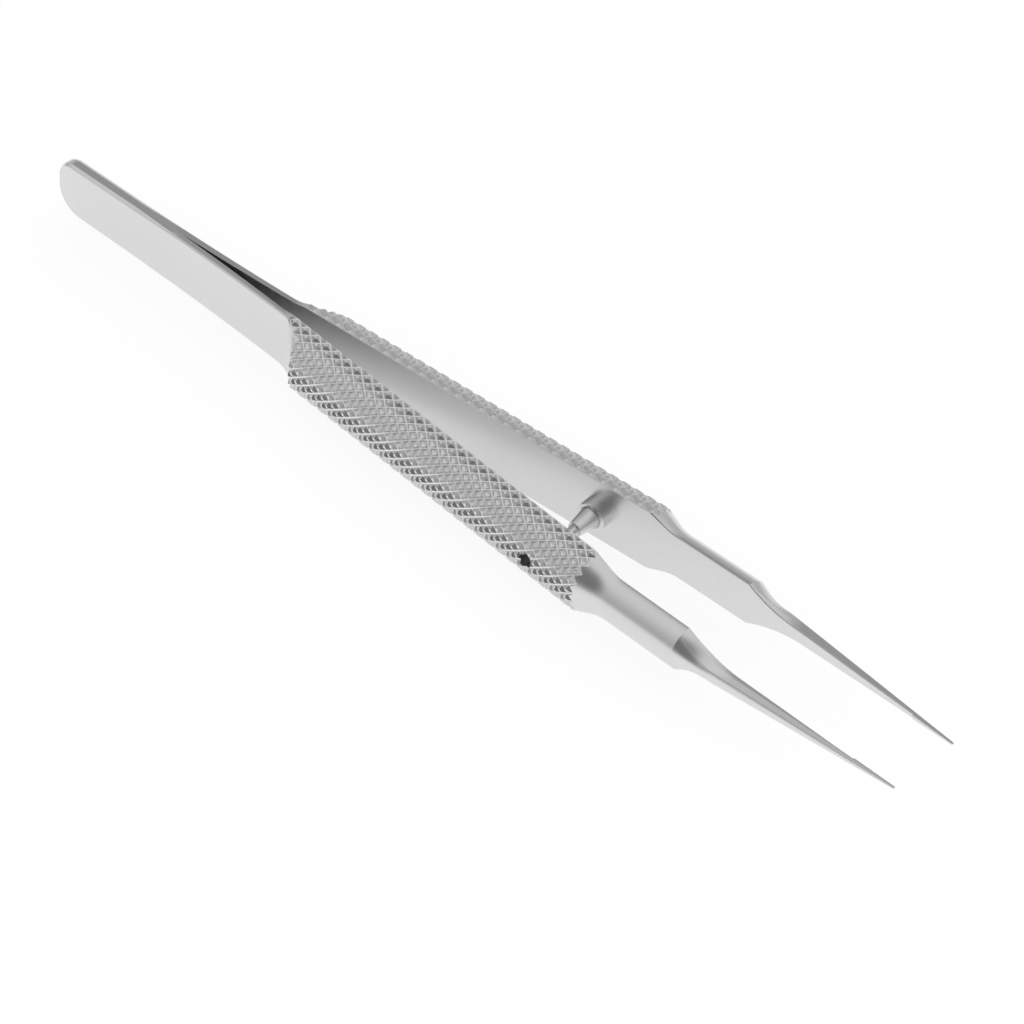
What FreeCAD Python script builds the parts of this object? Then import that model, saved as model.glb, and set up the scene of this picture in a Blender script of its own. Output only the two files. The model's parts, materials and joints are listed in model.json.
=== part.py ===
import FreeCAD, Part
import math
import os

# Fine tip tweezers with two spring arms, round knurled handles and a guide pin.
# They lie on their side: X runs from the welded tail to the tips, the arms open along Y and Z is up.
# Lengths along X are measured from the round end of the tail. The finished pieces are then moved so
# that the origin is under the middle of the tweezers, on the surface that they lie on.
# All sizes are millimetres, and the arms are drawn as they spring open at rest.

Vector = FreeCAD.Vector
AXIS_X = Vector(1, 0, 0)
AXIS_Y = Vector(0, 1, 0)
AXIS_Z = Vector(0, 0, 1)

# Tail: the two blades welded and ground together
tail_length = 18.5
tail_half_width = 3.35
tail_top_corner_radius = 2.0
tail_low_corner_radius = 3.3
tail_thickness = 1.7
tail_edge_round = 0.3

# Spring blades, from the weld to the handles
weld_half_gap = 0.01
flexure_clearance = 0.03
blade_thickness_at_handle = 0.65
blade_side_inset = 0.35
blade_edge_round = 0.2
ramp_radius = 6.0
ramp_crest_run = 3.6

# Round handle, half a bar on each arm, with a diamond knurl
handle_start = 36.4
handle_radius = 4.0
handle_half_gap_at_start = 0.87
knurl_end = 83.4
handle_half_gap_at_end = 4.063
knurl_teeth_per_turn = 20
knurl_pitch = 1.65
knurl_depth = 0.33
knurl_edge_drop = 0.1

# Turned neck between the knurl and the tip
neck_radius = 2.72
neck_run_in_degrees = 22.3
neck_run_in_fillet = 6.0
neck_bend_after_knurl = 4.0

# Ground tip
shoulder_at = 97.0
shoulder_run = 3.2
shoulder_rim_step = 0.06
tip_depth_at_shoulder = 2.06
flat_share_at_shoulder_rim = 0.02
flat_share_of_tip_depth = 0.36
flats_run = 7.0
flats_half_height = 0.8
tip_bend_at = 101.2
tip_bend_length = 2.0
tip_half_gap_at_bend = 4.57
tip_end_at = 125.0
tip_end_half_gap = 4.33
tip_end_depth = 0.3
tip_end_half_height = 0.09
pad_length = 5.5
pad_height = 0.13

# Guide pin and stop collar, one turned piece pressed into the right arm
pin_at = 76.8
pin_collar_radius = 1.75
pin_collar_height = 1.4
pin_collar_chamfer = 0.12
pin_cone_base_radius = 1.25
pin_cone_end_height = 3.9
pin_cone_end_radius = 0.85
pin_end_radius = 0.6
pin_height = 6.1
pin_end_round = 0.2
pin_shank_radius = 1.0
pin_shank_depth = 2.4

# Guide hole through the left arm, with a tapered mouth for the pin's cone on the inner side
# It lies a little nearer the tips than the pin does, because the pin swings in along an arc
hole_clearance = 0.24
hole_mouth_clearance = 0.3
hole_mouth_depth = 3.0
hole_lead = 0.2


def slope_between(start, end):
    """Slope in radians of the line from one plan point to the next."""
    return math.atan2(end[1] - start[1], end[0] - start[0])


def local_frame(x, y, slope):
    """Frame on an arm's inner face: X along the face, Y outward from it and Z up."""
    return FreeCAD.Placement(Vector(x, y, 0), FreeCAD.Rotation(AXIS_Z, math.degrees(slope)))


def concave_arc(start, end, slope):
    """Centre and radius of the arc from start that reaches end along the given slope."""
    normal = (-math.sin(slope), math.cos(slope))
    back = (start[0] - end[0], start[1] - end[1])
    radius = (back[0] ** 2 + back[1] ** 2) / (2 * (normal[0] * back[0] + normal[1] * back[1]))
    return (end[0] + radius * normal[0], end[1] + radius * normal[1]), radius


def arc_middle(start, end, slope):
    """Middle point of a concave arc."""
    centre, radius = concave_arc(start, end, slope)
    middle = ((start[0] + end[0]) / 2 - centre[0], (start[1] + end[1]) / 2 - centre[1])
    reach = radius / math.hypot(middle[0], middle[1])
    return (centre[0] + middle[0] * reach, centre[1] + middle[1] * reach)


def arc_height(start, end, slope, x):
    """Height at x on a concave arc."""
    centre, radius = concave_arc(start, end, slope)
    return centre[1] - math.sqrt(radius ** 2 - (x - centre[0]) ** 2)


def outline_face(parts):
    """Face inside a closed outline of lines (two points) and arcs (three points)."""
    edges = []
    for points in parts:
        if len(points) == 2:
            edges.append(Part.LineSegment(*points).toShape())
        else:
            edges.append(Part.Arc(*points).toShape())
    return Part.Face(Part.Wire(edges))


# Inner face of an arm, as plan points from the weld to the tip
handle_start_point = (handle_start, handle_half_gap_at_start)
knurl_end_point = (knurl_end, handle_half_gap_at_end)
tip_bend_point = (tip_bend_at, tip_half_gap_at_bend)
tip_end_point = (tip_end_at, tip_end_half_gap)
handle_slope = slope_between(handle_start_point, knurl_end_point)
neck_bend_run = (knurl_end + neck_bend_after_knurl - handle_start) / math.cos(handle_slope)
handle_frame = local_frame(handle_start, handle_half_gap_at_start, handle_slope)
neck_bend_vector = handle_frame.multVec(Vector(neck_bend_run, 0, 0))
neck_bend_point = (neck_bend_vector.x, neck_bend_vector.y)
neck_slope = slope_between(neck_bend_point, tip_bend_point)
neck_frame = local_frame(neck_bend_point[0], neck_bend_point[1], neck_slope)
tip_slope = slope_between(tip_bend_point, tip_end_point)

# Sizes that follow from the ones above
blade_start = tail_length + flexure_clearance
blade_thickness_at_weld = tail_thickness / 2
blade_half_width_at_handle = handle_radius - blade_side_inset
blade_widening = (blade_half_width_at_handle - tail_half_width) / (handle_start - tail_low_corner_radius)
knurl_half_pitch = knurl_pitch / 2
knurl_groove_radius = handle_radius - knurl_depth
shoulder_rim = (shoulder_at, neck_radius - shoulder_rim_step)
shoulder_end = shoulder_at + shoulder_run
flats_end = shoulder_at + flats_run
pad_start = tip_end_at - pad_length
depth_taper = (tip_end_depth - tip_depth_at_shoulder) / (tip_end_at - shoulder_end)
flats_taper = (tip_end_half_height - flats_half_height) / (tip_end_at - flats_end)

# Room that cutting shapes have past the piece, and closeness that counts as touching
margin = handle_radius
near_enough = 0.01

# Spans that the tip's curved outline is drawn in, before and after the end of the shoulder
shoulder_spans = 8
throat_spans = 4
back_spans = 8


def side_half_width(x):
    """Half of the height of the tail and blades, which widen towards the handle."""
    return tail_half_width + blade_widening * (x - tail_low_corner_radius)


def make_tail():
    """Both blades' welded ends: one flat bar with two rounded corners and softened edges."""
    side = -tail_thickness / 2
    top = tail_top_corner_radius
    low = tail_low_corner_radius
    corner = 1 - math.sqrt(0.5)
    top_start = Vector(0, side, tail_half_width - top)
    top_middle = Vector(top * corner, side, tail_half_width - top * corner)
    top_end = Vector(top, side, tail_half_width)
    low_start = Vector(low, side, -tail_half_width)
    low_middle = Vector(low * corner, side, low * corner - tail_half_width)
    low_end = Vector(0, side, low - tail_half_width)
    weld_top = Vector(tail_length, side, side_half_width(tail_length))
    weld_low = Vector(tail_length, side, -side_half_width(tail_length))
    outline = [
        (top_start, top_middle, top_end),
        (top_end, weld_top),
        (weld_top, weld_low),
        (weld_low, low_start),
        (low_start, low_middle, low_end),
        (low_end, top_start),
    ]
    bar = outline_face(outline).extrude(Vector(0, tail_thickness, 0))
    softened = []
    for edge in bar.Edges:
        box = edge.BoundBox
        if box.YLength < near_enough and box.XMin < tail_length - near_enough:
            softened.append(edge)
    return bar.makeFillet(tail_edge_round, softened)


def ramp_start():
    """Where the concave ramp leaves the blade, so that it comes out at the crest of the bar as set."""
    rise = handle_radius - blade_thickness_at_handle
    return ramp_crest_run - math.sqrt(2 * ramp_radius * rise - rise ** 2)


def ramp_point(x):
    """Point of the ramp in the handle's frame."""
    drop = math.sqrt(ramp_radius ** 2 - (x - ramp_start()) ** 2)
    return Vector(x, blade_thickness_at_handle + ramp_radius - drop, 0)


def make_blade():
    """The free part of one spring blade, with the foot of the ramp that rises to the handle."""
    inner_weld = Vector(blade_start, weld_half_gap, 0)
    outer_weld = Vector(blade_start, blade_thickness_at_weld, 0)
    inner_handle = handle_frame.multVec(Vector(0, 0, 0))
    ramp_foot = handle_frame.multVec(ramp_point(ramp_start()))
    ramp_middle = handle_frame.multVec(ramp_point(ramp_start() / 2))
    ramp_top = handle_frame.multVec(ramp_point(0))
    plan = [
        (inner_weld, outer_weld),
        (outer_weld, ramp_foot),
        (ramp_foot, ramp_middle, ramp_top),
        (ramp_top, inner_handle),
        (inner_handle, inner_weld),
    ]
    side_end = handle_start + margin
    past_sides = tail_half_width + margin
    body = outline_face(plan)
    body.translate(Vector(0, 0, -past_sides))
    body = body.extrude(Vector(0, 0, 2 * past_sides))
    side = Part.makePolygon([
        Vector(tail_length, -margin, side_half_width(tail_length)),
        Vector(side_end, -margin, side_half_width(side_end)),
        Vector(side_end, -margin, -side_half_width(side_end)),
        Vector(tail_length, -margin, -side_half_width(tail_length)),
        Vector(tail_length, -margin, side_half_width(tail_length)),
    ])
    body = body.common(Part.Face(side).extrude(Vector(0, 3 * margin, 0)))
    softened = []
    for edge in body.Edges:
        middle = edge.valueAt((edge.FirstParameter + edge.LastParameter) / 2)
        local = handle_frame.inverse().multVec(middle)
        on_side = abs(abs(middle.z) - side_half_width(middle.x)) < near_enough
        on_end = middle.x < blade_start + near_enough or local.x > -near_enough
        if on_side and not on_end and local.y > blade_thickness_at_handle / 2:
            softened.append(edge)
    return body.makeFillet(blade_edge_round, softened)


def knurl_vertex(step, column):
    """Vertex of the knurl: every second one is a point of a diamond, and the others are in the grooves."""
    radius = handle_radius if (step + column) % 2 == 0 else knurl_groove_radius
    if column in (0, knurl_teeth_per_turn):
        radius = handle_radius - knurl_edge_drop
    angle = math.pi * (column / knurl_teeth_per_turn - 0.5)
    return Vector(step * knurl_half_pitch, radius * math.cos(angle), radius * math.sin(angle))


def make_knurled_bar(steps):
    """Half a bar whose round side is a mesh of four-sided diamonds, and whose inner side is flat."""
    columns = knurl_teeth_per_turn
    grid = [[knurl_vertex(step, column) for column in range(columns + 1)] for step in range(steps + 1)]
    loops = []
    for step in range(steps):
        for column in range(columns):
            near_low = grid[step][column]
            near_high = grid[step][column + 1]
            far_low = grid[step + 1][column]
            far_high = grid[step + 1][column + 1]
            if (step + column) % 2 == 0:
                loops.append([near_low, far_low, near_high])
                loops.append([far_high, near_high, far_low])
            else:
                loops.append([near_low, far_low, far_high])
                loops.append([near_low, far_high, near_high])
    loops.append(grid[0])
    loops.append(grid[steps])
    loops.append([row[0] for row in grid] + [row[columns] for row in reversed(grid)])
    faces = [Part.Face(Part.makePolygon(loop + [loop[0]])) for loop in loops]
    shell = Part.makeShell(faces)
    shell.sewShape()
    bar = Part.makeSolid(shell)
    if bar.Volume < 0:
        bar.reverse()
    return bar


def turned_half(outline):
    """Half of a turned shape, from its outline of (x, radius) points that starts and ends on the axis."""
    parts = []
    for points in outline:
        parts.append([Vector(x, 0, -radius) for x, radius in points])
    return outline_face(parts).revolve(Vector(0, 0, 0), AXIS_X, 180)


def make_handle():
    """Knurled half bar, turned down to the neck at its end and milled to a ramp at its start."""
    slope = math.radians(neck_run_in_degrees)
    end = (knurl_end - handle_start) / math.cos(handle_slope)
    fillet_rise = neck_run_in_fillet * (1 - math.cos(slope))
    fillet_run = neck_run_in_fillet * math.sin(slope)
    cone_end_radius = neck_radius + fillet_rise
    cone_end = end + (handle_radius - cone_end_radius) / math.tan(slope)
    fillet_end = cone_end + fillet_run
    outer = handle_radius + margin
    cone_top = end - margin / math.tan(slope)
    bend = neck_bend_run + margin
    fillet_middle = arc_middle((cone_end, cone_end_radius), (fillet_end, neck_radius), 0)
    envelope = turned_half([
        ((-margin, 0), (-margin, outer)),
        ((-margin, outer), (cone_top, outer)),
        ((cone_top, outer), (cone_end, cone_end_radius)),
        ((cone_end, cone_end_radius), fillet_middle, (fillet_end, neck_radius)),
        ((fillet_end, neck_radius), (bend, neck_radius)),
        ((bend, neck_radius), (bend, 0)),
        ((bend, 0), (-margin, 0)),
    ])
    groove_out = end + knurl_depth / math.tan(slope)
    steps = math.ceil(groove_out / knurl_half_pitch) + 1
    bar_end = steps * knurl_half_pitch
    blank_radius = (knurl_groove_radius + neck_radius) / 2
    blank = turned_half([
        ((bar_end, 0), (bar_end, blank_radius)),
        ((bar_end, blank_radius), (bend, blank_radius)),
        ((bend, blank_radius), (bend, 0)),
        ((bend, 0), (bar_end, 0)),
    ])
    top = Vector(ramp_crest_run, outer, 0)
    corner = Vector(-margin, outer, 0)
    foot = Vector(-margin, ramp_point(0).y, 0)
    waste = outline_face([
        (foot, ramp_point(0)),
        (ramp_point(0), ramp_point(ramp_crest_run / 2), ramp_point(ramp_crest_run)),
        (ramp_point(ramp_crest_run), top),
        (top, corner),
        (corner, foot),
    ])
    waste.translate(Vector(0, 0, -outer))
    waste = waste.extrude(Vector(0, 0, 2 * outer))
    handle = make_knurled_bar(steps).fuse(blank).common(envelope).cut(waste)
    handle.Placement = handle_frame
    return handle


def beyond(point, slope):
    """Block that holds everything past a plan point, square to the given slope."""
    size = 2 * tip_end_at
    block = Part.makeBox(size, size, size, Vector(0, -size / 2, -size / 2))
    block.Placement = local_frame(point[0], point[1], slope)
    return block


def tip_depth(x):
    """Depth of the tip from its inner face to its rounded back."""
    if x < shoulder_end:
        return arc_height(shoulder_rim, (shoulder_end, tip_depth_at_shoulder), depth_taper, x)
    return tip_depth_at_shoulder + depth_taper * (x - shoulder_end)


def half_height(x):
    """Half of the tip's height between its two ground flats."""
    if x < flats_end:
        return arc_height(shoulder_rim, (flats_end, flats_half_height), flats_taper, x)
    return flats_half_height + flats_taper * (x - flats_end)


def flat_width(x):
    """Width of the ground flats, which grow out of the shoulder's rim."""
    grown = min(1, (x - shoulder_at) / shoulder_run)
    share = flat_share_at_shoulder_rim + (flat_share_of_tip_depth - flat_share_at_shoulder_rim) * grown
    return share * tip_depth(x)


def relief(x):
    """Depth that the inner face is cut back, which grows between the shoulder and the end of its curve."""
    return pad_height * min(1, max(0, (x - shoulder_end) / (flats_end - shoulder_end)))


def make_neck():
    """Half-round neck, up to the sharp rim of its shoulder."""
    rim_run = (shoulder_at - neck_bend_point[0]) / math.cos(neck_slope)
    neck = turned_half([
        ((-margin, 0), (-margin, neck_radius)),
        ((-margin, neck_radius), (rim_run, neck_radius)),
        ((rim_run, neck_radius), (rim_run, 0)),
        ((rim_run, 0), (-margin, 0)),
    ])
    neck.Placement = neck_frame
    return neck


def tip_path(x):
    """Half gap and slope of the tip's inner face, which bends inward a little after the shoulder."""
    bend_start = tip_bend_at - tip_bend_length / 2
    bend_end = tip_bend_at + tip_bend_length / 2
    if x <= bend_start:
        return tip_half_gap_at_bend + math.tan(neck_slope) * (x - tip_bend_at), neck_slope
    if x >= bend_end:
        return tip_half_gap_at_bend + math.tan(tip_slope) * (x - tip_bend_at), tip_slope
    share = (x - bend_start) / tip_bend_length
    start_y = tip_half_gap_at_bend - math.tan(neck_slope) * tip_bend_length / 2
    turn = (math.tan(tip_slope) - math.tan(neck_slope)) * share * (x - bend_start) / 2
    slope = neck_slope + (tip_slope - neck_slope) * share
    return start_y + math.tan(neck_slope) * (x - bend_start) + turn, slope


def tip_section(x, inner):
    """Outline across the tip: flat inner face, flat top and bottom, and a back rounded as half an ellipse."""
    y, slope = tip_path(x)
    height = half_height(x)
    flat = flat_width(x)
    bulge = tip_depth(x) - flat
    back_points = []
    for span in range(back_spans + 1):
        angle = math.pi * (0.5 - span / back_spans)
        back_points.append(Vector(0, flat + bulge * math.cos(angle), height * math.sin(angle)))
    back = Part.BSplineCurve()
    back.interpolate(back_points)
    low_inner = Vector(0, inner, -height)
    high_inner = Vector(0, inner, height)
    edges = [
        Part.LineSegment(low_inner, high_inner).toShape(),
        Part.LineSegment(high_inner, back_points[0]).toShape(),
        back.toShape(),
        Part.LineSegment(back_points[-1], low_inner).toShape(),
    ]
    wire = Part.Wire(edges)
    wire.Placement = local_frame(x, y, slope)
    return wire


def make_tip():
    """Concave shoulder and slender tip, relieved on its inner side behind the gripping pad."""
    sections = []
    for span in range(shoulder_spans):
        x = shoulder_at + shoulder_run * span / shoulder_spans
        sections.append(tip_section(x, relief(x)))
    for span in range(throat_spans + 1):
        x = shoulder_end + (flats_end - shoulder_end) * span / throat_spans
        sections.append(tip_section(x, relief(x)))
    sections.append(tip_section(pad_start, pad_height))
    shaft = Part.makeLoft(sections, True, True)
    pad = Part.makeLoft([tip_section(pad_start, 0), tip_section(tip_end_at, 0)], True, True)
    return shaft.fuse(pad)


def make_arm():
    """One arm with no holes, on the +Y side."""
    bend_slope = (handle_slope + neck_slope) / 2
    past_bend = beyond(neck_bend_point, bend_slope)
    handle = make_handle().cut(past_bend)
    neck = make_neck().common(past_bend)
    return make_blade().fuse([handle, neck, make_tip()])


def pin_frame():
    """Frame on the right arm's inner face where the pin stands: its Y points into the arm."""
    run = (pin_at - handle_start) / math.cos(handle_slope)
    foot = handle_frame.multVec(Vector(run, 0, 0))
    return local_frame(foot.x, foot.y, handle_slope)


def hole_frame():
    """Frame of the guide hole, before the left arm is mirrored."""
    run = (pin_at + hole_lead - handle_start) / math.cos(handle_slope)
    foot = handle_frame.multVec(Vector(run, 0, 0))
    return local_frame(foot.x, foot.y, handle_slope)


def make_guide_pin():
    """Shank, stop collar, cone and rounded end, turned about the pin's own axis."""
    outline = [
        (0, pin_shank_depth),
        (pin_shank_radius, pin_shank_depth),
        (pin_shank_radius, 0),
        (pin_collar_radius, 0),
        (pin_collar_radius, pin_collar_chamfer - pin_collar_height),
        (pin_collar_radius - pin_collar_chamfer, -pin_collar_height),
        (pin_cone_base_radius, -pin_collar_height),
        (pin_cone_end_radius, -pin_cone_end_height),
        (pin_end_radius, -pin_cone_end_height),
        (pin_end_radius, -pin_height + pin_end_round),
        (pin_end_radius - pin_end_round, -pin_height),
        (0, -pin_height),
        (0, pin_shank_depth),
    ]
    wire = Part.makePolygon([Vector(radius, y, 0) for radius, y in outline])
    pin = Part.Face(wire).revolve(Vector(0, 0, 0), AXIS_Y, 360)
    pin.Placement = pin_frame()
    return pin


def make_pin_seat():
    """Blind bore that the pin's shank is pressed into."""
    seat = Part.makeCylinder(pin_shank_radius, pin_shank_depth, Vector(0, 0, 0), AXIS_Y)
    seat.Placement = pin_frame()
    return seat


def make_guide_hole():
    """Bore right through the left arm, with a tapered mouth, wide enough for the pin's arc."""
    radius = pin_end_radius + hole_clearance
    mouth = pin_cone_base_radius + hole_mouth_clearance
    widening = (mouth - radius) / hole_mouth_depth
    bore = Part.makeCylinder(radius, handle_radius + margin, Vector(0, 0, 0), AXIS_Y)
    entry = Vector(0, -hole_mouth_depth, 0)
    taper = Part.makeCone(mouth + widening * hole_mouth_depth, radius, 2 * hole_mouth_depth, entry, AXIS_Y)
    cutter = bore.fuse(taper)
    cutter.Placement = hole_frame()
    return cutter


def write_piece(name, shape):
    """Move a finished piece to the part's own origin and write it."""
    piece = shape.Solids[0] if len(shape.Solids) == 1 else shape
    piece = piece.copy()
    piece.translate(Vector(-tip_end_at / 2, 0, handle_radius))
    piece.exportStep("parts/" + name + ".step")
    print(name, "solids", len(piece.Solids), "valid", piece.isValid(), "volume", round(piece.Volume, 3))


arm = make_arm()
left_arm = arm.cut(make_guide_hole()).mirror(Vector(0, 0, 0), AXIS_Y)
right_arm = arm.cut(make_pin_seat())

os.makedirs("parts", exist_ok=True)
write_piece("welded_tail", make_tail())
write_piece("left_arm", left_arm)
write_piece("right_arm", right_arm)
write_piece("guide_pin", make_guide_pin())
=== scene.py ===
import json
import math

import bmesh
import bpy
import numpy as np
from mathutils import Matrix, Vector

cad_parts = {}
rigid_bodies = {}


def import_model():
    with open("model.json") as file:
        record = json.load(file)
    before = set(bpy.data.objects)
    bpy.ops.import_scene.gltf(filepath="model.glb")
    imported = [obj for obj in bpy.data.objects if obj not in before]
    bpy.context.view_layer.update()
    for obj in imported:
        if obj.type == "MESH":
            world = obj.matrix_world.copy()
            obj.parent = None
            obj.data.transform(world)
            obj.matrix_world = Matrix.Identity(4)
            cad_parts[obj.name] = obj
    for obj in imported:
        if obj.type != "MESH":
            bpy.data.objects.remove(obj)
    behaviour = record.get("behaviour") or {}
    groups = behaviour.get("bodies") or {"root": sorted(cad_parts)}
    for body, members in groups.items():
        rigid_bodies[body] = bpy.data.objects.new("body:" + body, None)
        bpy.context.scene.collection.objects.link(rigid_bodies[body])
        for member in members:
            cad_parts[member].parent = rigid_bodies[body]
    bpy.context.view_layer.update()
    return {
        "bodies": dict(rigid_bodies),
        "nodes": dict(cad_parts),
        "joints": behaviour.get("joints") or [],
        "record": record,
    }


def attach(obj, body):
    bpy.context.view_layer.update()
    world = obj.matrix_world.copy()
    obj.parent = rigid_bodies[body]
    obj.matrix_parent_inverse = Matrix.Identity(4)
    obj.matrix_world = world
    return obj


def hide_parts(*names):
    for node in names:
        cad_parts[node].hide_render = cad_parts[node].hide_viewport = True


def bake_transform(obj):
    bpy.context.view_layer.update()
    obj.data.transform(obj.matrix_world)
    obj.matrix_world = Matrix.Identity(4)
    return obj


# Fine tip tweezers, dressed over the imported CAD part.
# Shapes are drawn in millimetres: X runs from the welded tail to the tips and the arms open along Y.
# They are then moved to the part's own origin and turned into metres.

# Tail and spring blades
tail_length = 18.5
tail_half_width = 3.35
tail_top_corner_radius = 2.0
tail_low_corner_radius = 3.3
tail_thickness = 1.7
blade_thickness_at_handle = 0.65
blade_half_width_at_handle = 3.65
blade_edge_round = 0.2
blade_flare_run = 2.2
blade_flare = 0.24
ramp_radius = 6.0
ramp_crest_run = 3.6

# Ground facet along the tail's edges, which runs out towards the weld's end
facet_width = 0.42
facet_drop = 0.2
facet_corner_round = 0.07
facet_fade_start = 12.0

# Knurled handle
handle_start = 36.4
handle_radius = 4.0
handle_half_gap_at_start = 0.87
knurl_end = 83.4
handle_half_gap_at_end = 4.063
knurl_teeth_per_turn = 20
knurl_pitch = 1.65
knurl_depth = 0.33
knurl_line_places = (-1.0, -0.86, -0.27, 0.27, 0.86)
knurl_top_lines = (2, 3)
knurl_slope_lines = (1, 3)
knurl_groove_lines = (0, 4)
knurl_rubbed_degrees = 8.0
knurl_rubbed_share = 0.75
knurl_edge_chamfer = 0.13

# Turned neck
neck_radius = 2.72
neck_run_in_degrees = 22.3
neck_run_in_fillet = 6.0
neck_bend_after_knurl = 4.0

# Ground tip
shoulder_at = 97.0
shoulder_run = 3.2
tip_depth_at_shoulder = 2.06
tip_shape_run = 4.5
back_centre_share = 0.28
back_radius_share = 0.64
back_corner_degrees = 38.0
back_corner_height_share = 0.9
back_bevel_segments = 8
flat_share_of_tip_depth = 0.36
flats_run = 7.0
flats_half_height = 0.8
tip_bend_at = 101.2
tip_bend_length = 2.0
tip_half_gap_at_bend = 4.57
tip_end_at = 125.0
tip_end_half_gap = 4.33
tip_end_depth = 0.3
tip_end_half_height = 0.09
pad_length = 5.5
pad_height = 0.13
inner_chamfer = 0.07
inner_chamfer_share = 0.2

# Guide pin and its hole
pin_at = 76.8
pin_collar_radius = 1.75
pin_collar_height = 1.4
pin_collar_chamfer = 0.12
pin_cone_base_radius = 1.25
pin_cone_end_height = 3.9
pin_cone_end_radius = 0.85
pin_end_radius = 0.6
pin_height = 6.1
pin_end_round = 0.2
pin_end_round_start = 0.06
pin_end_round_depth = 0.08
pin_groove = 0.08
pin_foot_depth = 0.05
hole_clearance = 0.24
hole_mouth_clearance = 0.3
hole_mouth_depth = 3.0
hole_lead = 0.2

# Steel's finish: waves per metre of its fine marks and of its cloudiness, and the marks' depth in metres
mark_scale = 9000.0
mark_scale_along = 270.0
mark_strength = 0.05
mark_depth = 0.00002
cloud_scale = 160.0
roughness_spread = 0.02

# Floor, in metres: how far it reaches, and how much of it is lit by the tent and so shows a shadow
floor_radius = 0.6
floor_edge_segments = 40
floor_shadow_share = 0.12
floor_shadow_share_in_metal = 0.2

# Light tent: brightness from its wall to its top, by the height of a direction from 0 to 1
tent_wall_level = 0.52
tent_top_level = 0.77
tent_wall_height = 0.34
tent_top_height = 0.87

# Dim patches of the tent: direction, degrees to the end of their core, degrees to their edge, brightness
dim_patches = (
    ((-0.490, 0.590, 0.642), 7, 20, 0.22),
    ((0.358, -0.769, 0.530), 24, 44, 0.17),
)

# Smoothness: segments of round shapes, closeness that counts as one point, and the least crisp angle
half_turn_segments = 72
back_segments = 60
tail_corner_segments = 27
edge_arc_segments = 5
edge_soft_segments = 7
fillet_segments = 14
flat_segments = 4
same_point = 0.0005
sharp_degrees = 15

# Metres in a millimetre
mm = 0.001


def slope_between(start, end):
    return math.atan2(end[1] - start[1], end[0] - start[0])


def frame_at(x, y, slope):
    """Frame on the inner face of the +Y arm: X along the face, Y outward and Z up."""
    return Matrix.Translation((x, y, 0)) @ Matrix.Rotation(slope, 4, "Z")


handle_slope = slope_between((handle_start, handle_half_gap_at_start), (knurl_end, handle_half_gap_at_end))
handle_frame = frame_at(handle_start, handle_half_gap_at_start, handle_slope)
knurl_run = (knurl_end - handle_start) / math.cos(handle_slope)
bend_run = (knurl_end + neck_bend_after_knurl - handle_start) / math.cos(handle_slope)
neck_bend = handle_frame @ Vector((bend_run, 0, 0))
neck_slope = slope_between(neck_bend, (tip_bend_at, tip_half_gap_at_bend))
tip_slope = slope_between((tip_bend_at, tip_half_gap_at_bend), (tip_end_at, tip_end_half_gap))
shoulder_end = shoulder_at + shoulder_run
flats_end = shoulder_at + flats_run
pad_start = tip_end_at - pad_length
neck_edge = neck_radius - inner_chamfer
neck_broken = (math.sqrt(2 * neck_radius ** 2 - neck_edge ** 2) - neck_edge) / 2
knurl_half_pitch = knurl_pitch / 2
knurl_lines_per_turn = knurl_teeth_per_turn * len(knurl_line_places)


def new_object(name, points, faces):
    """A mesh object from points in millimetres and faces as lists of their numbers."""
    mesh = bpy.data.meshes.new(name)
    mesh.from_pydata([tuple(point) for point in points], [], [tuple(face) for face in faces])
    mesh.update()
    piece = bpy.data.objects.new(name, mesh)
    bpy.context.scene.collection.objects.link(piece)
    return piece


def tidy(piece):
    """Joins points that lie together, drops faces with no area and turns every face outward."""
    work = bmesh.new()
    work.from_mesh(piece.data)
    bmesh.ops.remove_doubles(work, verts=work.verts, dist=same_point)
    bmesh.ops.dissolve_degenerate(work, edges=work.edges, dist=same_point)
    bmesh.ops.recalc_face_normals(work, faces=work.faces)
    work.to_mesh(piece.data)
    work.free()
    return piece


def cut(piece, cutter, operation):
    """Applies a boolean to the piece and removes the cutter."""
    modifier = piece.modifiers.new("cut", "BOOLEAN")
    modifier.operation = operation
    modifier.solver = "EXACT"
    modifier.object = cutter
    graph = bpy.context.evaluated_depsgraph_get()
    piece.data = bpy.data.meshes.new_from_object(piece.evaluated_get(graph))
    piece.modifiers.clear()
    bpy.data.objects.remove(cutter)
    return piece


def rings_to_faces(rings, size, closed):
    """Quads between rings of points that are numbered one after the other."""
    faces = []
    for ring in range(rings - 1):
        for i in range(size if closed else size - 1):
            here = ring * size + i
            beside = ring * size + (i + 1) % size
            faces.append((here, beside, beside + size, here + size))
    return faces


def lathe(name, outline, axis_turn):
    """A turned solid from (along, radius) points that start and end on the axis."""
    segments = 2 * half_turn_segments
    points = []
    for along, radius in outline:
        for i in range(segments):
            angle = math.pi * i / half_turn_segments
            points.append(axis_turn @ Vector((along, radius * math.cos(angle), radius * math.sin(angle))))
    return tidy(new_object(name, points, rings_to_faces(len(outline), segments, True)))


def arc_points(centre, radius, start, end, count):
    """Points of an arc, by angles in degrees."""
    points = []
    for i in range(count + 1):
        angle = math.radians(start + (end - start) * i / count)
        points.append((centre[0] + radius * math.cos(angle), centre[1] + radius * math.sin(angle)))
    return points


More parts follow.
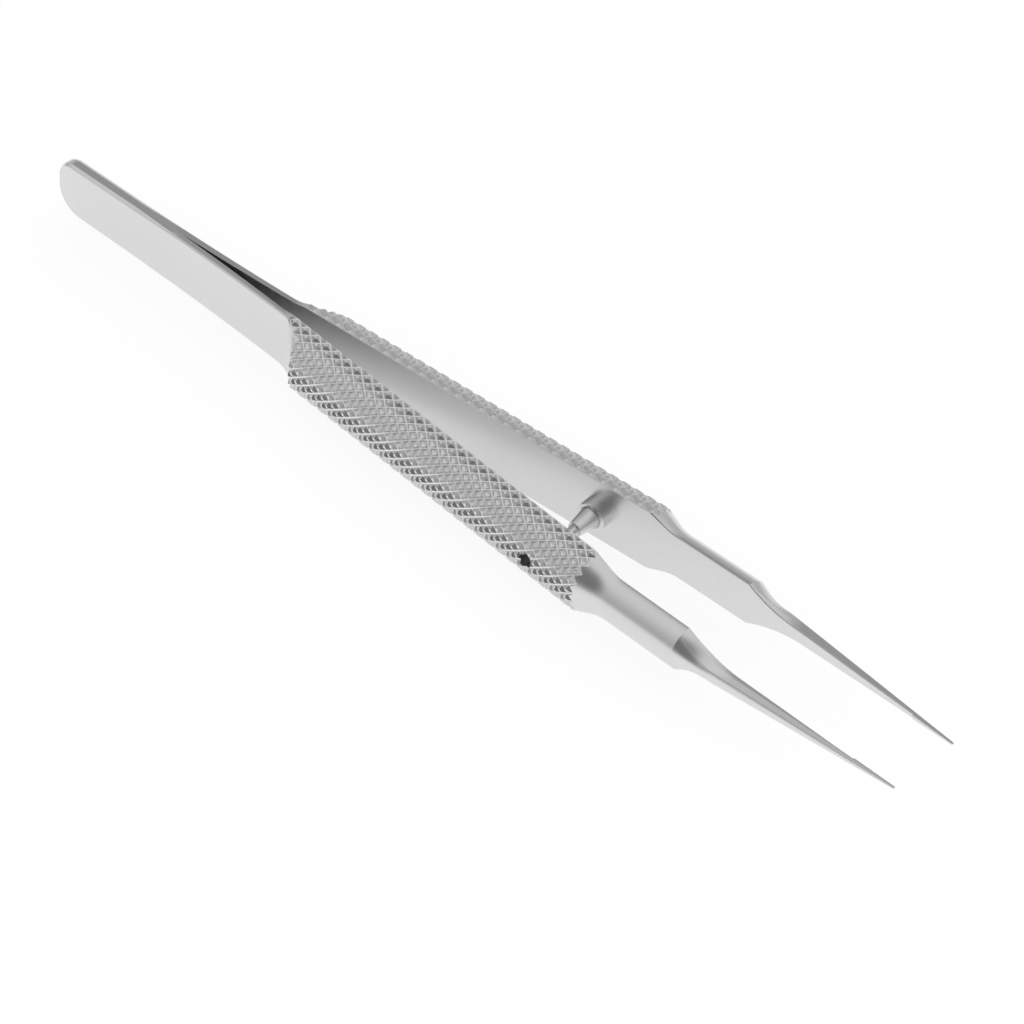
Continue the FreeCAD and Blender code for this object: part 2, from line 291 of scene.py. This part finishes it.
def inner_line(x):
    """Half gap and slope of the inner face at x, from the tail to the tip."""
    if x <= tail_length:
        return 0.0, 0.0
    if x <= handle_start:
        run = handle_start - tail_length
        end_slope = math.tan(handle_slope)
        start_slope = 2 * handle_half_gap_at_start / run - end_slope
        share = (x - tail_length) / run
        y = run * share * (start_slope + (end_slope - start_slope) * share / 2)
        return y, math.atan(start_slope + (end_slope - start_slope) * share)
    bend_start = tip_bend_at - tip_bend_length / 2
    bend_end = tip_bend_at + tip_bend_length / 2
    if x <= bend_start:
        return tip_half_gap_at_bend + math.tan(neck_slope) * (x - tip_bend_at), neck_slope
    if x >= bend_end:
        return tip_half_gap_at_bend + math.tan(tip_slope) * (x - tip_bend_at), tip_slope
    share = (x - bend_start) / tip_bend_length
    y = tip_half_gap_at_bend - math.tan(neck_slope) * (tip_bend_at - x)
    y += (math.tan(tip_slope) - math.tan(neck_slope)) * share * (x - bend_start) / 2
    return y, neck_slope + (tip_slope - neck_slope) * share


def ramp_start():
    rise = handle_radius - blade_thickness_at_handle
    return ramp_crest_run - math.sqrt(2 * ramp_radius * rise - rise ** 2)


def ramp_height(run):
    """Height of the ramp over the inner face, by the distance past the handle's start."""
    if run <= ramp_start():
        return blade_thickness_at_handle
    return blade_thickness_at_handle + ramp_radius - math.sqrt(ramp_radius ** 2 - (run - ramp_start()) ** 2)


def blade_height(x):
    """Thickness of the tail's half and of the blade."""
    ramp_foot = handle_start + ramp_start()
    if x <= tail_length:
        return tail_thickness / 2
    if x <= ramp_foot:
        share = (x - tail_length) / (ramp_foot - tail_length)
        return tail_thickness / 2 + (blade_thickness_at_handle - tail_thickness / 2) * share
    return ramp_height(x - handle_start)


def edge_profile(x):
    """Outline over a long edge of the tail or blade, as (inset, rise) points up to its outer face."""
    height = blade_height(x)
    lean = math.atan2(facet_drop, facet_width)
    round_at = facet_drop + facet_corner_round * (1 - math.sin(lean)) / math.cos(lean)
    facet = [(0.0, height - facet_width), (facet_drop / 2, height - facet_width / 2)]
    centre = (round_at, height - facet_corner_round)
    facet += arc_points(centre, facet_corner_round, 180 - math.degrees(lean), 90, edge_arc_segments)
    soft_centre = (blade_edge_round, height - blade_edge_round)
    soft = arc_points(soft_centre, blade_edge_round, 180, 90, edge_soft_segments)
    share = min(1.0, max(0.0, (x - facet_fade_start) / (tail_length - facet_fade_start)))
    profile = [(0.0, 0.0)]
    for ground, rounded in zip(facet, soft):
        profile.append(tuple(a + (b - a) * share for a, b in zip(ground, rounded)))
    return profile


def side_outline(corner, straight):
    """One long side of the tail and blade: x, half width and outward direction at each station."""
    widening = (blade_half_width_at_handle - tail_half_width) / (handle_start - tail_low_corner_radius)
    stations = []
    for angle in np.linspace(0, 90, tail_corner_segments + 1):
        turn = math.radians(angle)
        z = tail_half_width - corner * (1 - math.sin(turn))
        stations.append((corner * (1 - math.cos(turn)), z, -math.cos(turn), math.sin(turn)))
    for x in straight:
        flare = max(0.0, (x - handle_start + blade_flare_run) / blade_flare_run)
        z = tail_half_width + widening * max(0.0, x - tail_low_corner_radius) + blade_flare * flare ** 2
        stations.append((x, z, 0.0, 1.0))
    return stations


def make_blade():
    """Half of the tail and one spring blade, up to the handle."""
    ramp_foot = handle_start + ramp_start()
    straight = list(np.arange(tail_low_corner_radius + 0.5, tail_length, 0.5))
    straight += list(np.linspace(tail_length, ramp_foot, 30))
    straight += list(np.linspace(ramp_foot, handle_start, 15))[1:]
    points = []
    for side, corner in ((1, tail_top_corner_radius), (-1, tail_low_corner_radius)):
        for x, z, normal_x, normal_z in side_outline(corner, straight):
            inner, slope = inner_line(x)
            frame = frame_at(x, inner, slope)
            for inset, rise in edge_profile(x):
                place = frame @ Vector((-normal_x * inset, rise, 0))
                points.append((place.x, place.y, side * (z - normal_z * inset)))
    shift = len(points) // 2
    size = len(edge_profile(0))
    count = shift // size
    faces = rings_to_faces(count, size, False)
    faces += [tuple(reversed([number + shift for number in face])) for face in faces]
    for ring in range(count - 1):
        for i in (0, size - 1):
            here = ring * size + i
            faces.append((here, here + size, here + size + shift, here + shift))
    for i in range(size - 1):
        faces.append((i, i + 1, i + 1 + shift, i + shift))
    last = list(range(shift - size, shift))
    faces.append(tuple(last + [number + shift for number in reversed(last)]))
    return tidy(new_object("blade", points, faces))


def knurl_place(line_a, line_b):
    """Point where two lines of the knurl's crossing grids meet: a diamond's flat top, or the groove."""
    per_tooth = len(knurl_line_places)
    a = 2 * (line_a // per_tooth) + knurl_line_places[line_a % per_tooth]
    b = 2 * (line_b // per_tooth) + knurl_line_places[line_b % per_tooth]
    degrees = 90 * (a - b) / knurl_teeth_per_turn - 90
    radius = handle_radius
    if line_a % per_tooth not in knurl_top_lines or line_b % per_tooth not in knurl_top_lines:
        to_edge = abs(90 - abs((degrees + 180) % 360 - 180))
        rubbed = knurl_rubbed_share * max(0.0, 1 - to_edge / knurl_rubbed_degrees)
        radius -= knurl_depth * (1 - rubbed)
    angle = math.radians(degrees)
    return ((a + b) / 2 * knurl_half_pitch, radius * math.cos(angle), radius * math.sin(angle))


def make_knurled_bar(start, end):
    """Full round bar with a diamond knurl, on a grid that follows the diamonds' edges. Its flanks get a
    darker tone as painted shade, its groove lines a lighter one as painted highlight.
    """
    turn = knurl_lines_per_turn
    per_tooth = len(knurl_line_places)
    numbers = {}
    points = []

    def number(a, b):
        wraps = (a - b) // (2 * turn)
        key = (a - wraps * turn, b + wraps * turn)
        if key not in numbers:
            numbers[key] = len(points)
            points.append(knurl_place(*key))
        return numbers[key]

    faces = []
    kinds = []
    first = math.floor(start / knurl_half_pitch * per_tooth)
    last = math.ceil(end / knurl_half_pitch * per_tooth)
    for total in range(first, last):
        for apart in range(total % 2, 2 * turn, 2):
            a = (total + apart) // 2
            b = (total - apart) // 2
            corners = [number(a, b), number(a + 1, b), number(a + 1, b + 1), number(a, b + 1)]
            if a % per_tooth != b % per_tooth and {a % per_tooth, b % per_tooth} == set(knurl_slope_lines):
                corners = corners[1:] + corners[:1]
            faces.append((corners[0], corners[1], corners[2]))
            faces.append((corners[0], corners[2], corners[3]))
            cell = (a % per_tooth, b % per_tooth)
            # Groove-line faces get a lighter tone: a painted highlight
            if cell[0] in knurl_groove_lines or cell[1] in knurl_groove_lines:
                kinds += [groove_painted_highlight_slot] * 2
            else:
                # Flank faces get a darker tone, painted shade; the flat tops keep the plain steel
                kinds += [steel_slot if cell[0] == cell[1] == knurl_top_lines[0] else slope_painted_shade_slot] * 2
    used = {}
    for face in faces:
        for i in range(3):
            edge = (face[i], face[(i + 1) % 3])
            used[tuple(sorted(edge))] = None if tuple(sorted(edge)) in used else edge
    middle = (start + end) / 2
    points += [(start - knurl_pitch, 0, 0), (end + knurl_pitch, 0, 0)]
    for edge in used.values():
        if edge:
            faces.append((edge[1], edge[0], len(points) - (2 if points[edge[0]][0] < middle else 1)))
    bar = new_object("bar", points, faces)
    for material in arm_materials:
        bar.data.materials.append(material)
    for face, kind in zip(bar.data.polygons, kinds):
        face.material_index = kind
    return tidy(bar)


def section(flat, bulge, height, edge, hollow, broken):
    """Outline of (out, up) points: inner face up to its edge, broken corner, flat and elliptic back."""
    start = max(flat, hollow + broken)
    turn = math.degrees(math.acos((start - flat) / bulge))
    rise = height * math.sin(math.radians(turn))
    low = [(hollow, -edge)]
    for step in range(flat_segments):
        share = step / (flat_segments - 1)
        low.append((hollow + broken + (start - hollow - broken) * share, -rise))
    back = []
    for angle in np.linspace(-turn, turn, back_segments + 1)[1:-1]:
        back.append((flat + bulge * math.cos(math.radians(angle)), height * math.sin(math.radians(angle))))
    return low + back + [(out, -up) for out, up in reversed(low)]


def make_envelope():
    """Turned half outline of the handle and the neck's start, with the ramp milled off."""
    slope = math.radians(neck_run_in_degrees)
    rise = neck_run_in_fillet * (1 - math.cos(slope))
    cone_end = knurl_run + (handle_radius - neck_radius - rise) / math.tan(slope)
    fillet_end = cone_end + neck_run_in_fillet * math.sin(slope)
    outer = handle_radius + 1
    outline = [(0, outer), (knurl_run - 1 / math.tan(slope), outer), (knurl_run, handle_radius)]
    centre = (fillet_end, neck_radius + neck_run_in_fillet)
    fillet = arc_points(centre, neck_run_in_fillet, 270 - neck_run_in_degrees, 270, fillet_segments)
    for run, radius in fillet:
        if run < bend_run - 0.1:
            outline.append((run, radius))
    outline.append((bend_run, neck_radius))
    points = []
    for run, radius in outline:
        edge = radius - inner_chamfer if radius < handle_radius else handle_radius - knurl_edge_chamfer
        broken = (math.sqrt(2 * radius ** 2 - edge ** 2) - edge) / 2
        for out, up in section(0, radius, radius, edge, 0, broken):
            points.append((run, out, up))
    size = len(points) // len(outline)
    faces = rings_to_faces(len(outline), size, True)
    faces.append(tuple(range(size)))
    faces.append(tuple(range(len(points) - size, len(points))))
    envelope = tidy(new_object("envelope", points, faces))
    runs = list(np.linspace(-2, ramp_start(), 3)) + list(np.linspace(ramp_start(), ramp_crest_run, 40))[1:]
    profile = [(run, ramp_height(run)) for run in runs]
    profile += [(ramp_crest_run, 2 * outer), (-2, 2 * outer)]
    count = len(profile)
    points = [(x, y, -outer) for x, y in profile] + [(x, y, outer) for x, y in profile]
    faces = [tuple(range(count)), tuple(reversed(range(count, 2 * count)))]
    for i in range(count):
        beside = (i + 1) % count
        faces.append((i, beside, beside + count, i + count))
    return cut(envelope, tidy(new_object("waste", points, faces)), "DIFFERENCE")


def drop_cap(piece, place, direction):
    """Removes the flat faces at one end of a piece, so that another piece can be joined on there."""
    work = bmesh.new()
    work.from_mesh(piece.data)
    caps = []
    for face in work.faces:
        if all(abs((vert.co - place).dot(direction)) < same_point for vert in face.verts):
            caps.append(face)
    bmesh.ops.delete(work, geom=caps, context="FACES")
    work.to_mesh(piece.data)
    work.free()


def make_handle():
    """Knurled handle with the ramp at its start and the neck's run-in at its end."""
    bar = make_knurled_bar(-knurl_pitch, bend_run + knurl_pitch)
    handle = cut(bar, make_envelope(), "INTERSECT")
    drop_cap(handle, Vector((bend_run, 0, 0)), Vector((1, 0, 0)))
    handle.data.transform(handle_frame)
    return handle


def concave_arc(start, end, slope):
    """Centre and radius of the arc from start that reaches end along the given slope."""
    normal = (-math.sin(slope), math.cos(slope))
    back = (start[0] - end[0], start[1] - end[1])
    radius = (back[0] ** 2 + back[1] ** 2) / (2 * (normal[0] * back[0] + normal[1] * back[1]))
    return (end[0] + radius * normal[0], end[1] + radius * normal[1]), radius


def on_arc(start, end, slope, x):
    centre, radius = concave_arc(start, end, slope)
    return centre[1] - math.sqrt(radius ** 2 - (x - centre[0]) ** 2)


def tip_depth(x):
    """Depth of the tip from its inner face to its rounded back."""
    taper = (tip_end_depth - tip_depth_at_shoulder) / (tip_end_at - shoulder_end)
    if x < shoulder_end:
        return on_arc((shoulder_at, neck_radius), (shoulder_end, tip_depth_at_shoulder), taper, x)
    return tip_depth_at_shoulder + taper * (x - shoulder_end)


def half_height(x):
    """Half height between the ground flats."""
    taper = (tip_end_half_height - flats_half_height) / (tip_end_at - flats_end)
    if x < flats_end:
        return on_arc((shoulder_at, neck_radius), (flats_end, flats_half_height), taper, x)
    return flats_half_height + taper * (x - flats_end)


def relief(x):
    """Depth of the hollow behind the gripping pad, on the inner side."""
    if x > pad_start:
        return max(0.0, pad_height - (x - pad_start))
    return pad_height * min(1.0, max(0.0, (x - shoulder_end) / (flats_end - shoulder_end)))


def ground_outline(x, size):
    """Outline of the ground tip at x with so many points: flat, then bevelled, with a round back."""
    depth = tip_depth(x)
    height = half_height(x)
    chamfer = min(inner_chamfer, inner_chamfer_share * height)
    start = relief(x) + chamfer
    flat = flat_share_of_tip_depth * depth
    centre = back_centre_share * depth
    radius = back_radius_share * depth
    corner_up = radius * math.sin(math.radians(back_corner_degrees))
    corner_up = min(corner_up, back_corner_height_share * height)
    corner_turn = math.asin(corner_up / radius)
    corner_out = centre + radius * math.cos(corner_turn)
    upper = [(relief(x), height - chamfer)]
    for share in np.linspace(0, 1, flat_segments + 1):
        upper.append((start + (flat - start) * share, height))
    for share in np.linspace(0, 1, back_bevel_segments + 1)[1:]:
        upper.append((flat + (corner_out - flat) * share, height + (corner_up - height) * share))
    rest = size // 2 + 1 - len(upper)
    for turn in np.linspace(corner_turn, 0, rest + 1)[1:]:
        upper.append((centre + radius * math.cos(turn), radius * math.sin(turn)))
    return [(out, -up) for out, up in upper] + upper[-2::-1]


def front_section(x):
    """Outline across the neck or tip: half round up to the shoulder, then ground more and more."""
    if x <= shoulder_at:
        return section(0, neck_radius, neck_radius, neck_edge, 0, neck_broken)
    height = half_height(x)
    chamfer = min(inner_chamfer, inner_chamfer_share * height)
    turned = section(0, tip_depth(x), height, height - chamfer, relief(x), chamfer)
    share = min(1.0, (x - shoulder_at) / tip_shape_run)
    blended = []
    for (out_a, up_a), (out_b, up_b) in zip(turned, ground_outline(x, len(turned))):
        blended.append((out_a + (out_b - out_a) * share, up_a + (up_b - up_a) * share))
    return blended


def make_front():
    """Neck past its bend, sharp shoulder and fine tip. Its first ring is the handle's last."""
    stations = list(np.linspace(neck_bend.x, shoulder_at, 14))[1:]
    stations += list(shoulder_at + shoulder_run * np.linspace(0, 1, 30)[1:] ** 1.6)
    stations += list(np.linspace(shoulder_end, flats_end, 24))[1:]
    stations += list(np.linspace(flats_end, pad_start, 24))[1:]
    stations += list(np.linspace(pad_start, pad_start + pad_height, 4))[1:]
    stations += list(np.linspace(pad_start + pad_height, tip_end_at, 16))[1:]
    first_frame = handle_frame @ Matrix.Translation((bend_run, 0, 0))
    points = [first_frame @ Vector((0, out, up)) for out, up in front_section(neck_bend.x)]
    size = len(points)
    for x in stations:
        y, slope = inner_line(x)
        frame = frame_at(x, y, slope)
        points += [frame @ Vector((0, out, up)) for out, up in front_section(x)]
    faces = rings_to_faces(len(stations) + 1, size, True)
    faces.append(tuple(range(size)))
    faces.append(tuple(range(len(points) - size, len(points))))
    front = tidy(new_object("front", points, faces))
    drop_cap(front, Vector(first_frame.translation), first_frame.to_3x3() @ Vector((1, 0, 0)))
    return front


def joined(name, pieces):
    """One object with the meshes of several."""
    work = bmesh.new()
    for piece in pieces:
        piece.data.transform(piece.matrix_basis)
        work.from_mesh(piece.data)
        bpy.data.objects.remove(piece)
    bmesh.ops.remove_doubles(work, verts=work.verts, dist=same_point)
    mesh = bpy.data.meshes.new(name)
    work.to_mesh(mesh)
    work.free()
    for material in arm_materials:
        mesh.materials.append(material)
    whole = bpy.data.objects.new(name, mesh)
    bpy.context.scene.collection.objects.link(whole)
    return whole


def finish_piece(piece, side, material, crisp_above):
    """Moves a piece to the part's origin in metres, mirrors it for the -Y side and dresses it."""
    turn = Matrix.Diagonal((mm, mm * side, mm, 1))
    piece.data.transform(turn @ Matrix.Translation((-tip_end_at / 2, 0, handle_radius)))
    if side < 0:
        piece.data.flip_normals()
    if not piece.data.materials:
        piece.data.materials.append(material)
    piece.data.shade_smooth()
    piece.data.set_sharp_from_angle(angle=math.radians(crisp_above))
    return piece


def pin_place(lead):
    """Frame on the handle's inner face at the pin, with X turned along the pin's axis into the arm."""
    run = (pin_at + lead - handle_start) / math.cos(handle_slope)
    foot = handle_frame @ Vector((run, 0, 0))
    return frame_at(foot.x, foot.y, handle_slope) @ Matrix.Rotation(math.pi / 2, 4, "Z")


def make_guide_hole():
    """Cutter for the guide hole, with a tapered mouth on the inner side. Its faces take a dark tone,
    painted shade inside the bore.
    """
    radius = pin_end_radius + hole_clearance
    mouth = pin_cone_base_radius + hole_mouth_clearance
    outline = [(-hole_mouth_depth, 0), (-hole_mouth_depth, 2 * mouth - radius), (hole_mouth_depth, radius)]
    outline += [(2 * handle_radius, radius), (2 * handle_radius, 0)]
    hole = lathe("hole", outline, pin_place(hole_lead))
    for material in arm_materials:
        hole.data.materials.append(material)
    # The bore's faces get the dark tone: painted shade in the hole
    for face in hole.data.polygons:
        face.material_index = bore_painted_shade_slot
    return hole


def make_pin():
    """Stop collar, cone and rounded end, turned in one piece."""
    collar = pin_collar_radius
    face = -pin_collar_height
    base = pin_cone_base_radius
    outline = [(pin_foot_depth, 0), (pin_foot_depth, collar), (face + pin_collar_chamfer, collar)]
    outline += [(face, collar - pin_collar_chamfer), (face, base + pin_groove)]
    outline += [(face + pin_groove, base), (face, base), (-pin_cone_end_height, pin_cone_end_radius)]
    outline += [(-pin_cone_end_height, pin_end_radius), (-pin_height + pin_end_round, pin_end_radius)]
    outline.append((pin_end_round_start - pin_height, pin_end_radius - pin_end_round_depth))
    outline += [(-pin_height, pin_end_radius - pin_end_round), (-pin_height, 0)]
    return lathe("guide_pin_turned", outline, pin_place(0))


def steel(name, tone_low, tone_high, roughness):
    """Satin stainless steel with fine marks that run across the tweezers."""
    material = bpy.data.materials.new(name)
    material.use_nodes = True
    nodes = material.node_tree.nodes
    links = material.node_tree.links
    shader = nodes["Principled BSDF"]
    shader.inputs["Metallic"].default_value = 1.0
    place = nodes.new("ShaderNodeTexCoord")
    stretch = nodes.new("ShaderNodeMapping")
    stretch.inputs["Scale"].default_value = (mark_scale, mark_scale_along, mark_scale_along)
    marks = nodes.new("ShaderNodeTexNoise")
    marks.inputs["Scale"].default_value = 1.0
    marks.inputs["Detail"].default_value = 3.0
    cloud = nodes.new("ShaderNodeTexNoise")
    cloud.inputs["Scale"].default_value = cloud_scale
    tone = nodes.new("ShaderNodeMapRange")
    tone.inputs["To Min"].default_value = tone_low
    tone.inputs["To Max"].default_value = tone_high
    gloss = nodes.new("ShaderNodeMapRange")
    gloss.inputs["To Min"].default_value = roughness - roughness_spread
    gloss.inputs["To Max"].default_value = roughness + roughness_spread
    bump = nodes.new("ShaderNodeBump")
    bump.inputs["Strength"].default_value = mark_strength
    bump.inputs["Distance"].default_value = mark_depth
    links.new(place.outputs["Object"], stretch.inputs["Vector"])
    links.new(stretch.outputs["Vector"], marks.inputs["Vector"])
    links.new(place.outputs["Object"], cloud.inputs["Vector"])
    links.new(marks.outputs["Fac"], tone.inputs["Value"])
    links.new(tone.outputs["Result"], shader.inputs["Base Color"])
    links.new(cloud.outputs["Fac"], gloss.inputs["Value"])
    links.new(gloss.outputs["Result"], shader.inputs["Roughness"])
    links.new(marks.outputs["Fac"], bump.inputs["Height"])
    links.new(bump.outputs["Normal"], shader.inputs["Normal"])
    return material


def make_floor():
    """Pale floor that shows white to the camera and in the metal, and keeps the shadow."""
    count = floor_edge_segments
    points = [(0, 0, 0)]
    for i in range(count):
        angle = 2 * math.pi * i / count
        points.append((floor_radius * math.cos(angle), floor_radius * math.sin(angle), 0))
    faces = [(0, 1 + i, 1 + (i + 1) % count) for i in range(count)]
    floor = new_object("floor", points, faces)
    material = bpy.data.materials.new("floor_white")
    material.use_nodes = True
    nodes = material.node_tree.nodes
    links = material.node_tree.links
    nodes.remove(nodes["Principled BSDF"])
    output = nodes["Material Output"]
    rays = nodes.new("ShaderNodeLightPath")
    camera_glow = nodes.new("ShaderNodeMath")
    camera_glow.operation = "MULTIPLY"
    camera_glow.inputs[1].default_value = 1 - floor_shadow_share
    glow_level = nodes.new("ShaderNodeMath")
    glow_level.operation = "MULTIPLY_ADD"
    glow_level.inputs[1].default_value = 1 - floor_shadow_share_in_metal
    shade = nodes.new("ShaderNodeMath")
    shade.operation = "SUBTRACT"
    shade.inputs[0].default_value = 1.0
    diffuse = nodes.new("ShaderNodeBsdfDiffuse")
    glow = nodes.new("ShaderNodeEmission")
    both = nodes.new("ShaderNodeAddShader")
    links.new(rays.outputs["Is Camera Ray"], camera_glow.inputs[0])
    links.new(rays.outputs["Is Glossy Ray"], glow_level.inputs[0])
    links.new(camera_glow.outputs[0], glow_level.inputs[2])
    links.new(glow_level.outputs[0], glow.inputs["Strength"])
    links.new(glow_level.outputs[0], shade.inputs[1])
    links.new(shade.outputs[0], diffuse.inputs["Color"])
    links.new(diffuse.outputs[0], both.inputs[0])
    links.new(glow.outputs[0], both.inputs[1])
    links.new(both.outputs[0], output.inputs["Surface"])
    floor.data.materials.append(material)


def add_patch(nodes, links, direction, base, centre, inner, outer, value):
    """Blends the tent's brightness towards a value round one direction. Angles are in degrees."""
    aim = nodes.new("ShaderNodeVectorMath")
    aim.operation = "DOT_PRODUCT"
    aim.inputs[1].default_value = Vector(centre).normalized()
    links.new(direction, aim.inputs[0])
    soft = nodes.new("ShaderNodeMapRange")
    soft.interpolation_type = "SMOOTHSTEP"
    soft.inputs["From Min"].default_value = math.cos(math.radians(outer))
    soft.inputs["From Max"].default_value = math.cos(math.radians(inner))
    links.new(aim.outputs["Value"], soft.inputs["Value"])
    mix = nodes.new("ShaderNodeMix")
    mix.inputs["B"].default_value = value
    links.new(soft.outputs["Result"], mix.inputs["Factor"])
    links.new(base, mix.inputs["A"])
    return mix.outputs["Result"]


def make_world():
    """Light tent: a bright dome with dimmer walls and two dim patches. All but gloss sees plain white."""
    world = bpy.data.worlds.new("studio")
    bpy.context.scene.world = world
    world.use_nodes = True
    nodes = world.node_tree.nodes
    links = world.node_tree.links
    place = nodes.new("ShaderNodeTexCoord")
    direction = place.outputs["Generated"]
    split = nodes.new("ShaderNodeSeparateXYZ")
    links.new(direction, split.inputs[0])
    height = nodes.new("ShaderNodeMapRange")
    height.inputs["From Min"].default_value = tent_wall_height
    height.inputs["From Max"].default_value = tent_top_height
    height.inputs["To Min"].default_value = tent_wall_level
    height.inputs["To Max"].default_value = tent_top_level
    links.new(split.outputs["Z"], height.inputs["Value"])
    level = height.outputs["Result"]
    for centre, inner, outer, value in dim_patches:
        level = add_patch(nodes, links, direction, level, centre, inner, outer, value)
    rays = nodes.new("ShaderNodeLightPath")
    white = nodes.new("ShaderNodeMix")
    white.inputs["B"].default_value = 1.0
    plain = nodes.new("ShaderNodeMath")
    plain.operation = "SUBTRACT"
    plain.inputs[0].default_value = 1.0
    links.new(rays.outputs["Is Glossy Ray"], plain.inputs[1])
    links.new(plain.outputs[0], white.inputs["Factor"])
    links.new(level, white.inputs["A"])
    nodes["Background"].inputs["Color"].default_value = (1, 1, 1, 1)
    links.new(white.outputs["Result"], nodes["Background"].inputs["Strength"])


def make_camera():
    """The photograph's viewpoint, found by fitting a camera to the tweezers' edges."""
    data = bpy.data.cameras.new("camera")
    camera = bpy.data.objects.new("camera", data)
    bpy.context.scene.collection.objects.link(camera)
    data.sensor_width = 36.0
    data.lens = 236.8
    data.clip_start = 0.05
    data.clip_end = 10
    right = Vector((0.7210, 0.6917, 0.0412))
    down = Vector((0.4950, -0.4725, -0.7292))
    forward = Vector((-0.4849, 0.5462, -0.6830))
    turn = Matrix((right, -down, -forward)).transposed().to_4x4()
    camera.matrix_world = Matrix.Translation((0.34727, -0.38489, 0.48154)) @ turn
    bpy.context.scene.camera = camera


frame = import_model()

# Slots: plain steel; knurl flanks with painted shade; knurl groove lines with a painted highlight; guide
# bore with painted shade
steel_slot, slope_painted_shade_slot, groove_painted_highlight_slot, bore_painted_shade_slot = range(4)
satin = steel("satin_steel", 0.71, 0.75, 0.3)
arm_materials = (
    satin,
    # Knurl flanks: darker tone, painted shade
    steel("knurl_slope_painted_shade_steel", 0.63, 0.67, 0.32),
    # Knurl groove lines: lighter tone, painted highlight
    steel("knurl_groove_painted_highlight_steel", 0.86, 0.9, 0.45),
    # Guide bore: dark tone, painted shade inside the hole
    steel("bore_painted_shade_steel", 0.27, 0.31, 0.55),
)

handle = make_handle()
front = make_front()
blade = make_blade()

arms = (
    ("left_arm_steel", -1, "left_side", "left_arm"),
    ("right_arm_steel", 1, "right_side", "right_arm"),
)
for name, side, body, node in arms:
    parts = []
    for source in (blade, handle, front):
        copy = source.copy()
        copy.data = source.data.copy()
        bpy.context.scene.collection.objects.link(copy)
        if source is handle and side < 0:
            cut(copy, make_guide_hole(), "DIFFERENCE")
        parts.append(copy)
    arm = finish_piece(joined(name, parts), side, satin, sharp_degrees)
    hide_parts(node, "welded_tail")
    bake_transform(arm)
for source in (blade, handle, front):
    bpy.data.objects.remove(source)

pin = finish_piece(make_pin(), 1, satin, sharp_degrees)
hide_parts("guide_pin")
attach(pin, "right_side")

make_floor()
make_world()
make_camera()
bpy.context.scene.view_settings.view_transform = "Standard"
